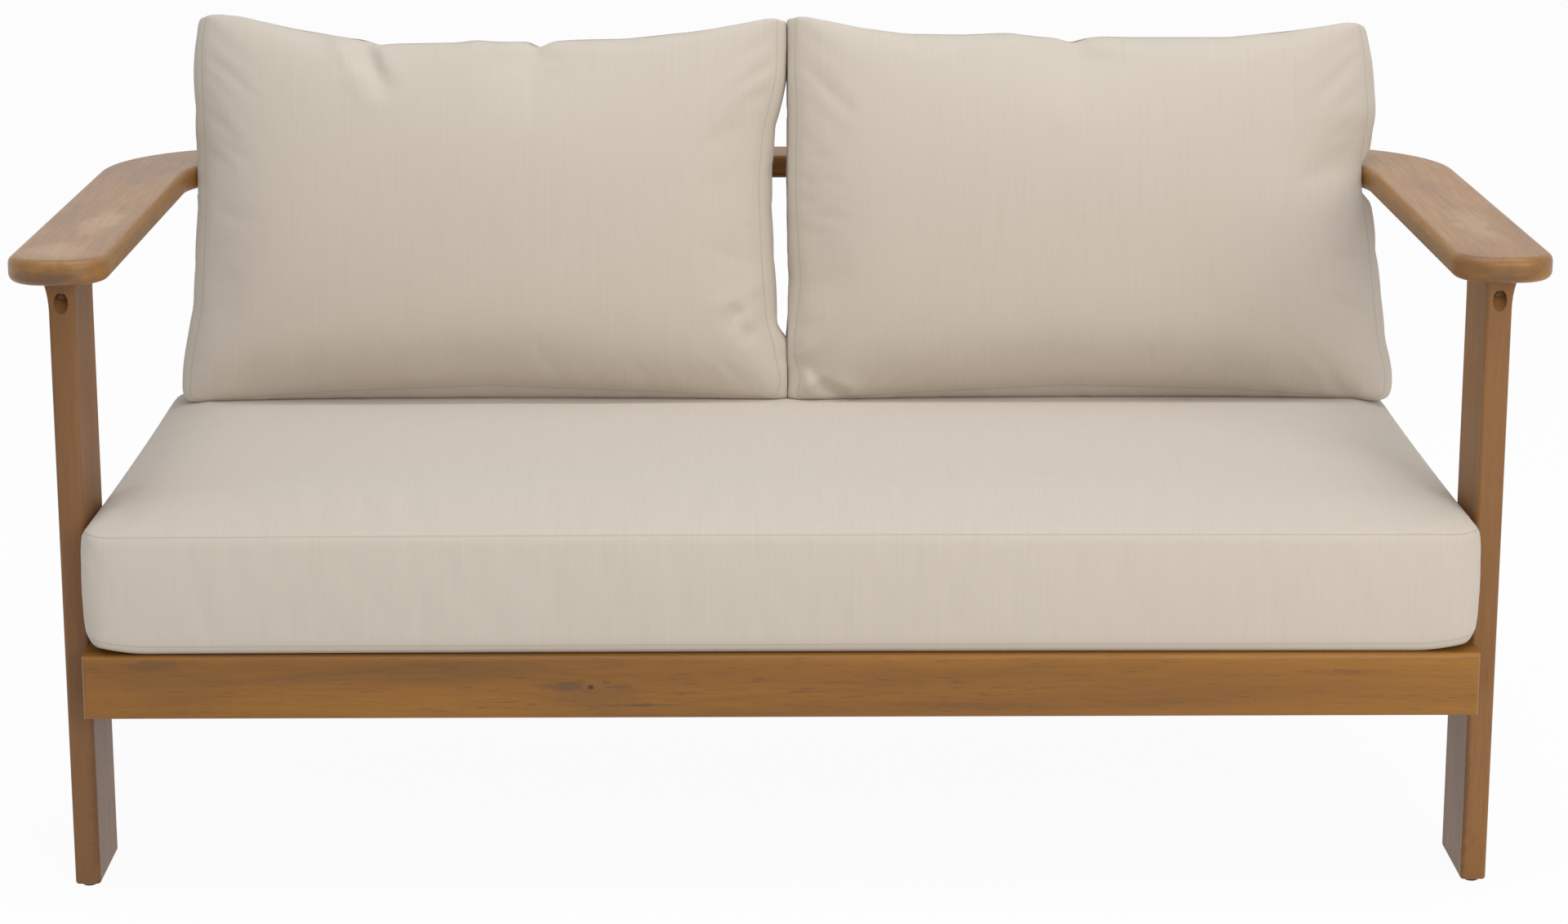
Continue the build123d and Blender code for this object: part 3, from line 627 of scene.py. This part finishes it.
# Back cushions lean back by this much, and their seams lie in leaning planes
lean = math.radians(8)
upward = np.array([0, math.sin(lean), math.cos(lean)])
rearward = np.array([0, math.cos(lean), -math.sin(lean)])
back_thickness = mm(85)
rail_play = mm(0.4)
back_foot_y = rail_low.y - rail_play - back_thickness / math.cos(lean)
back_foot_y -= (rail_low.z - back_low.z) * math.tan(lean)
back_columns, back_rows, back_layers = 104, 66, 8
back_height, back_border = mm(420), mm(60)
grid_height = 0.62  # height of the flat grid over its width, where its corners are rounded
corner_share = 0.036  # corner radius, as a share of half the width
corner_fill = 0.03
top_edge_softness = 0.009
front_bulge, rear_bulge = mm(50), mm(19)
front_inset = mm(7)
swell_length, swell_change = mm(190), 0.07
pucker_length = mm(26)
pucker_low, pucker_high = mm(1.2), mm(0.25)
pucker_gap, pucker_run = mm(5), mm(20)
fold_reach, fold_at_seam = mm(4), 0.4  # folds grow shallow this near a seam, to this share
border_belly = mm(4.5)
scallop_length, border_scallop, foot_scallop = mm(38), mm(2.2), mm(0.8)
foot_sag = 0.9
press_behind_front = mm(9)
press_fades = (0.13, 0.18)  # shares of the height between which the press at the foot ends
crest_height, crest_run, crest_fade = mm(9.5), mm(5), mm(80)
top_seam_drop, top_seam_back = mm(2), mm(14)
back_pressure, back_puff_limit = 4.0, mm(9)
# What pressed cloth keeps clear of, and where it may swell out again
arm_gap, rail_gap, seat_gap, meeting_gap = mm(0.8), mm(0.6), mm(0.5), mm(0.4)
meeting_place, meeting_wave, meeting_length = mm(9), mm(2.5), mm(17)
swell_from, swell_slope = mm(3), 1.1
foot_zone = mm(40)

# Listed outlines. Top: (share of the width from the middle of the loveseat, drop in mm from the
# full height). Foot: (share of the width, rise in mm)
top_edge_left = [
    (0, -7), (0.03, -3), (0.06, 0), (0.15, 9), (0.27, 17), (0.36, 18), (0.404, 20), (0.42, 31),
    (0.434, 20), (0.5, 20), (0.53, 18), (0.56, 21), (0.67, 22), (0.706, 24), (0.72, 18), (0.75, 16),
    (0.85, 5), (0.94, -8), (0.98, -10), (1, -11),
]
top_edge_right = [
    (0, -9), (0.03, -5), (0.06, -2), (0.12, 5), (0.2, 12), (0.3, 13), (0.38, 11), (0.43, 15),
    (0.47, 17), (0.49, 23), (0.51, 18), (0.54, 15), (0.6, 16), (0.77, 16), (0.88, 9), (0.94, 4),
    (1, -1),
]
foot_edge_left = [(0, 2), (0.21, 9), (0.49, 17), (0.76, 10), (0.97, 0), (1, 0)]
foot_edge_right = [(0, 0), (0.05, 1), (0.19, 7), (0.46, 16), (0.73, 11), (0.97, 0), (1, 0)]
# Sides: (share of the height, distance in mm from the middle of the loveseat)
inner_edge_left = [
    (0, -6), (0.065, -9), (0.1, -3), (0.15, -1), (0.2, 6), (0.4, 12), (0.58, 14), (0.7, 9),
    (0.83, -5), (1, -7),
]
inner_edge_right = [
    (0, 12), (0.06, 20), (0.11, 12), (0.16, 11), (0.3, 18), (0.45, 14), (0.58, 12), (0.75, 14),
    (0.85, 12), (1, 13),
]
outer_edge_left = [
    (0, 662), (0.1, 658), (0.25, 646), (0.5, 640), (0.62, 640), (0.8, 642), (0.9, 642), (1, 635),
]
outer_edge_right = [
    (0, 683), (0.08, 683), (0.14, 676), (0.25, 670), (0.4, 664), (0.5, 658), (0.62, 652),
    (0.75, 661), (0.9, 656), (1, 647),
]
# Folds: path in mm (from the middle of the loveseat, above the foot), width, depth
folds_left = [
    ([(466, 412), (456, 378), (433, 345)], 10, 14),
    ([(487, 404), (477, 372), (455, 338)], 16, -2),
    ([(276, 408), (273, 376)], 9, 8),
    ([(40, 100), (50, 68)], 8, 4.5),
    ([(27, 76), (34, 50)], 7, 4),
    ([(12, 112), (8, 62)], 7, 3),
    ([(640, 4), (630, 26)], 6, 5),
    ([(652, 8), (655, 40)], 6, 3),
    ([(600, 10), (520, 22), (430, 30)], 10, 3),
]
folds_right = [
    ([(331, 408), (326, 378)], 10, 7),
    ([(70, 2), (44, 14), (24, 40)], 6, 11),
    ([(30, 22), (16, 8)], 9, -5),
    ([(12, 30), (9, 60)], 6, 4),
    ([(640, 3), (618, 15), (575, 20)], 8, 6),
    ([(655, 95), (645, 50)], 9, 3),
    ([(560, 398), (540, 350)], 16, 2.5),
]


def arm_reach(y):
    """Inner side of the arm, from the middle of the loveseat."""
    along = np.clip(y - arm_curve_y, 0, arm_inner_radius)
    return arm_curve_x + np.sqrt(arm_inner_radius**2 - along**2)


def meeting_x(y, z):
    """The wavy face along which the two back cushions press on each other.

    It is the same at every height, so that one cushion can be lifted past the other.
    """
    depth = (y - back_foot_y) * math.cos(lean) - (z - back_low.z) * math.sin(lean)
    return meeting_place + meeting_wave * np.sin(depth / meeting_length)


def beside(height):
    """How far cloth may swell past the frame's face at heights above and below arm and rail."""
    away = np.abs(height - (arm_low.z + arm_high.z) / 2) - (arm_high.z - arm_low.z) / 2
    return np.maximum(away - swell_from, 0) * swell_slope


def fullness(place, flatness, shoulder):
    """1 in the middle and 0 at both edges. Flatness widens the middle, shoulder rounds the ends."""
    return (1 - np.abs(place) ** flatness) ** shoulder


def make_back(word, side, outline, folds, seed):
    """A boxed back cushion, laid out flat (across, tall, deep) and then leant back."""
    back = box_grid("back_cushion_" + word, back_columns, back_rows, back_layers)
    u, v, w = points_of(back).T
    top_edge, foot_edge, inner_edge, outer_edge = outline
    # behind the front, the inner corner at the foot is filled out, so that no light comes through
    filled = corner_share - corner_fill * ease(w, -1, -0.2)
    corner = np.where((u < 0) & (v < 0), filled, corner_share)
    ru, rv = rounded(u, v, 1.0, grid_height, corner)
    share_x, share_z = (ru + 1) / 2, (rv / grid_height + 1) / 2
    inner, outer = mm(hand_line(inner_edge, share_z)), mm(hand_line(outer_edge, share_z))
    low = mm(hand_line(foot_edge, share_x))
    high = back_height - mm(hand_line(top_edge, share_x, top_edge_softness))
    across = inner + (outer - inner) * share_x
    tall = low + (high - low) * share_z
    front, rear = w < -0.999, w > 0.999
    at_side, at_end = np.abs(u) > 0.999, np.abs(v) > 0.999
    rim = at_side | at_end
    # the front is a pillow that hangs over its lower seam, the rear is flatter
    full_x = fullness(u, 2.6, 0.58)
    full_z = np.where(v < 0, fullness(v, 3.6, 0.6), fullness(v, 2.2, 0.68))
    flat = np.stack([across, tall, np.zeros_like(tall)], 1)
    swell = full_x * full_z * (1 + swell_change * ripple(flat, swell_length, seed))
    deep = (w + 1) / 2 * back_border - front * front_bulge * swell + rear * rear_bulge * swell
    # puckers run in from the seams, and folds lie where the filling has sunk
    edge = np.minimum((1 - np.abs(u)) * (outer - inner) / 2, (1 - np.abs(v)) * back_height / 2)
    near_seam = np.exp(-edge / pucker_run) * (1 - np.exp(-edge / pucker_gap))
    pucker = ripple(flat, pucker_length, seed + 5) * near_seam
    deep += front * pucker * np.where(v < 0, pucker_low, pucker_high)
    for path, width, depth in folds:
        path = [(mm(a), mm(b)) for a, b in path]
        crease = fold(across, tall, path, mm(width), mm(depth))
        deep += front * crease * np.clip(edge / fold_reach, fold_at_seam, 1)
    # the border between the seams swells and scallops
    belly = (1 - w**2) * border_belly
    scallop = ripple(flat, scallop_length, seed + 9) * (1 - w**2)
    across += at_side * np.sign(u) * (belly + scallop * border_scallop)
    # the front is a little narrower, so a strip of the border shows beside its seams
    across -= front * u * front_inset
    # behind the front, the inner sides press together near the foot
    near_foot = 1 - ease(share_z, *press_fades)
    across -= at_side * (u < 0) * press_behind_front * ease(w, -1, -0.4) * near_foot
    tall += at_end * np.where(v < 0, scallop * foot_scallop - belly, 0)
    # the front rolls over the top, so its top seam lies out of sight behind and below the crest
    from_top = (1 - v) * back_height / 2
    crest = crest_height * (1 - np.exp(-from_top / crest_run)) * np.exp(-from_top / crest_fade)
    tall += front * (v > 0) * crest
    tall -= (v > 0) * at_end * top_seam_drop
    deep += front * at_end * (v > 0) * top_seam_back
    # the foot of the border sags down to the seat between the raised seams
    tall -= at_end * (v < 0) * (1 - w**2) * low * foot_sag
    foot = np.array([0, back_foot_y, back_low.z])
    points = foot + tall[:, None] * upward + deep[:, None] * rearward
    points[:, 0] = across * side
    set_points(back, points)
    face_outwards(back)
    seam = rim & (front | rear)
    puff(back, seam | (at_end & (v > 0)), back_pressure, back_puff_limit)
    refine(back, seam)
    settle(back, side)
    return back


def settle(back, side):
    """Press the cushion against the arm, the rail, the seat and its neighbour."""
    points = points_of(back)
    x, y, z = points.T
    room = beside(z)
    reach = arm_reach(y) - arm_gap + room
    x = side * np.minimum(x * side, reach)
    x = side * np.maximum(x * side, side * meeting_x(y, z) + meeting_gap)
    y = np.minimum(y, rail_low.y - rail_gap + room)
    seat_top = bvhtree.BVHTree.FromObject(seat, bpy.context.evaluated_depsgraph_get())
    for i in np.nonzero(z < back_low.z + foot_zone)[0]:
        hit = seat_top.ray_cast(Vector((x[i], y[i], 1)), Vector((0, 0, -1)))[0]
        if hit:
            z[i] = max(z[i], hit.z + seat_gap)
    set_points(back, np.stack([x, y, z], 1))


seat = make_seat()
finish_cushion(seat, "seat_cushion", ["seat_cushion_cover", "seat_cushion_foam"])
outline_left = (top_edge_left, foot_edge_left, inner_edge_left, outer_edge_left)
outline_right = (top_edge_right, foot_edge_right, inner_edge_right, outer_edge_right)
for word, side, outline, folds, seed in (
    ("left", -1, outline_left, folds_left, 1),
    ("right", 1, outline_right, folds_right, 3),
):
    cushion = make_back(word, side, outline, folds, seed)
    replaced = ["back_cushion_cover_" + word, "back_cushion_filling_" + word]
    finish_cushion(cushion, "back_cushion_" + word, replaced)


# Zips at the rear of the cushions, made flat first: x along the zip, y up the cloth and z off it
zip_pitch = mm(3)
zip_width = mm(28)
zip_tail = mm(12)
tape_thickness = mm(1.2)
tooth_size = (mm(1.9), mm(5.6), mm(2.2))
slider_size = (mm(11), mm(9), mm(4.8))
slider_from_end = mm(20)
pull_radius, pull_length = mm(3.4), mm(17)
bridge_radius, wire_radius = mm(2.6), mm(0.8)
seat_zip_length, seat_zip_z = mm(1000), mm(325)
back_zip_length, back_zip_x, back_zip_rise = mm(480), mm(325), mm(42)
zip_material = plain("zip_tape", srgb(196, 184, 168), 0.85, specular=0.2)
teeth_material = plain("zip_teeth", srgb(182, 171, 156), 0.45)
slider_material = plain("zip_slider", srgb(172, 168, 160), 0.35, metallic=1.0)


def zip_tape(name, length):
    """A strip of cloth a little longer than the zip."""
    deselect()
    bpy.ops.mesh.primitive_grid_add(x_subdivisions=int(length / mm(10)), y_subdivisions=6, size=1)
    tape = bpy.context.object
    tape.name = name
    tape.scale = (length + 2 * zip_tail, zip_width, 1)
    bpy.ops.object.transform_apply(location=False, rotation=False, scale=True)
    thick = tape.modifiers.new("thick", "SOLIDIFY")
    thick.thickness, thick.offset = tape_thickness, 0
    bpy.ops.object.modifier_apply(modifier="thick")
    return tape


def zip_teeth(name, length):
    """One bevelled tooth, repeated along the zip."""
    deselect()
    bpy.ops.mesh.primitive_cube_add(size=1, location=(-length / 2, 0, tape_thickness))
    teeth = bpy.context.object
    teeth.name = name
    teeth.scale = tooth_size
    bpy.ops.object.transform_apply(location=True, rotation=False, scale=True)
    bpy.ops.object.mode_set(mode="EDIT")
    bpy.ops.mesh.select_all(action="SELECT")
    bpy.ops.mesh.bevel(offset=mm(0.6), segments=1, affect="EDGES")
    bpy.ops.object.mode_set(mode="OBJECT")
    row = teeth.modifiers.new("row", "ARRAY")
    row.count = int(length / zip_pitch)
    row.use_relative_offset, row.use_constant_offset = False, True
    row.constant_offset_displace = (zip_pitch, 0, 0)
    bpy.ops.object.modifier_apply(modifier="row")
    return teeth


def wire_ring(radius, segments, place, turn=0.0):
    """A closed ring of round wire, turned about Y."""
    deselect()
    bpy.ops.mesh.primitive_torus_add(
        major_radius=radius, minor_radius=wire_radius, major_segments=segments, minor_segments=8,
        location=place, rotation=(0, turn, 0),
    )
    bpy.ops.object.transform_apply(location=True, rotation=True, scale=True)
    return bpy.context.object


def zip_slider(name, x):
    """A slider body, a bridge on it and a long ring to pull."""
    ring = wire_ring(pull_radius, segments=28, place=(x, -mm(3), mm(6)))
    # the lower half of the ring is drawn down, and makes it long
    points = points_of(ring)
    points[:, 1] -= (points[:, 1] < -mm(3.1)) * pull_length
    set_points(ring, points)
    bridge = wire_ring(bridge_radius, segments=20, place=(x, -mm(0.4), mm(4.6)), turn=math.pi / 2)
    deselect()
    bpy.ops.mesh.primitive_cube_add(size=1, location=(x, 0, slider_size[2] / 2))
    slider = bpy.context.object
    slider.name = name
    slider.scale = slider_size
    bpy.ops.object.transform_apply(location=True, rotation=True, scale=True)
    bpy.ops.object.mode_set(mode="EDIT")
    bpy.ops.mesh.select_all(action="SELECT")
    bpy.ops.mesh.bevel(offset=mm(1.3), segments=3, affect="EDGES")
    bpy.ops.object.mode_set(mode="OBJECT")
    ring.select_set(True)
    bridge.select_set(True)
    bpy.ops.object.join()
    bpy.ops.object.shade_smooth_by_angle(angle=math.radians(35))
    return slider


def sew_zip(cushion, body, cover, middle, upward, length):
    """Lay a zip on the rear face of a cushion."""
    across = Vector((-1, 0, 0))
    outward = across.cross(upward)
    face = bvhtree.BVHTree.FromObject(cushion, bpy.context.evaluated_depsgraph_get())
    label = body + "_zip_"
    for piece, material, slot in (
        (zip_tape(label + "tape", length), zip_material, "cover_fabric"),
        (zip_teeth(label + "teeth", length), teeth_material, "cover_fabric"),
        (zip_slider(label + "slider", length / 2 - slider_from_end), slider_material, "steel"),
    ):
        points = points_of(piece)
        for i, (x, y, z) in enumerate(points):
            over = middle + across * x + upward * y
            hit = face.ray_cast(over + outward * mm(100), -outward)[0]
            points[i] = (hit or over) + outward * z
        set_points(piece, points)
        face_outwards(piece)
        piece.data.materials.clear()
        piece.data.materials.append(material)
        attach(piece, body)
        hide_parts(cover)


middle, straight_up = Vector((0, seat_high.y, seat_zip_z)), Vector((0, 0, 1))
sew_zip(seat, "seat_cushion", "seat_cushion_cover", middle, straight_up, seat_zip_length)
for word, side in (("left", -1), ("right", 1)):
    body = "back_cushion_" + word
    cover = "back_cushion_cover_" + word
    middle = Vector((side * back_zip_x, back_foot_y, back_low.z))
    middle += Vector(upward) * back_zip_rise + Vector(rearward) * back_border
    sew_zip(bpy.data.objects[body], body, cover, middle, Vector(upward), back_zip_length)


# ---------------------------------------------------------------- floor, light and camera
def sees_white(finish):
    """1 for rays that look straight at the background, in a mirror or through glass, else 0."""
    seen = finish.node("ShaderNodeLightPath", output="Is Camera Ray")
    glossy = finish.node("ShaderNodeLightPath", output="Is Glossy Ray")
    clear = finish.node("ShaderNodeLightPath", output="Is Transmission Ray")
    return finish.math("MINIMUM", seen + glossy + clear, 1.0)


def studio():
    """A pale floor and a plain bright room, both white where they are only background."""
    deselect()
    bpy.ops.mesh.primitive_plane_add(size=30, location=(0, 0, 0))
    floor = bpy.context.object
    floor.name = "floor"
    pale = Finish("pale_floor", roughness=0.9, specular=0.1)
    pale.colour(srgb(250, 250, 250))
    white = {"Color": (1, 1, 1, 1), "Strength": 1.0}
    glow = pale.node("ShaderNodeEmission", values=white, output="Emission")
    # a little of the lit floor shows, and with it the loveseat's shadow
    shown = sees_white(pale) * 0.95
    lit = Signal(pale, pale.shader.outputs[0])
    mixed = pale.node("ShaderNodeMixShader", values={0: shown, 1: lit, 2: glow})
    end = pale.tree.nodes["Material Output"].inputs["Surface"]
    pale.put(end, mixed)
    floor.data.materials.append(pale.material)

    world = bpy.data.worlds.new("studio")
    bpy.context.scene.world = world
    world.use_nodes = True
    around = Finish("studio_world", tree=world.node_tree)
    light = world.node_tree.nodes["Background"]
    light.inputs["Color"].default_value = (0.95, 0.97, 1.0, 1)
    light.inputs["Strength"].default_value = 0.5
    backdrop = around.node("ShaderNodeBackground", values=white)
    lit = Signal(around, light.outputs[0])
    values = {0: sees_white(around), 1: lit, 2: backdrop}
    mixed = around.node("ShaderNodeMixShader", values=values)
    around.put(world.node_tree.nodes["World Output"].inputs["Surface"], mixed)


def lamp(name, place, aim, size, power, colour):
    """A soft rectangular lamp that faces its aim."""
    data = bpy.data.lights.new(name, "AREA")
    data.shape = "RECTANGLE"
    data.size, data.size_y = size
    data.energy = power
    data.color = colour
    made = bpy.data.objects.new(name, data)
    bpy.context.scene.collection.objects.link(made)
    made.location = place
    towards = Vector(aim) - Vector(place)
    made.rotation_euler = towards.to_track_quat("-Z", "Y").to_euler()


def photo_camera():
    """The photo's view, fitted to points marked on the legs, arms, apron and cushions."""
    data = bpy.data.cameras.new("photo_view")
    data.sensor_width = 36
    data.lens = 79.53
    data.shift_y = -0.07
    camera = bpy.data.objects.new("photo_view", data)
    bpy.context.scene.collection.objects.link(camera)
    camera.location = (-0.029, -3.601, 1.301)
    pitch, yaw = math.radians(12.72), math.radians(0.54)
    level = math.cos(pitch)
    ahead = Vector((math.sin(yaw) * level, math.cos(yaw) * level, -math.sin(pitch)))
    camera.rotation_euler = ahead.to_track_quat("-Z", "Y").to_euler()
    bpy.context.scene.camera = camera


studio()
cool, warm = (0.94, 0.97, 1.0), (1.0, 0.965, 0.92)
lamp("overhead", (0.2, -0.6, 3.2), aim=(0, 0, 0.4), size=(3.0, 2.2), power=47, colour=cool)
lamp("front", (1.7, -3.3, 1.7), aim=(0, 0, 0.45), size=(2.2, 1.8), power=44, colour=warm)
photo_camera()

bpy.context.scene.view_settings.view_transform = "Standard"
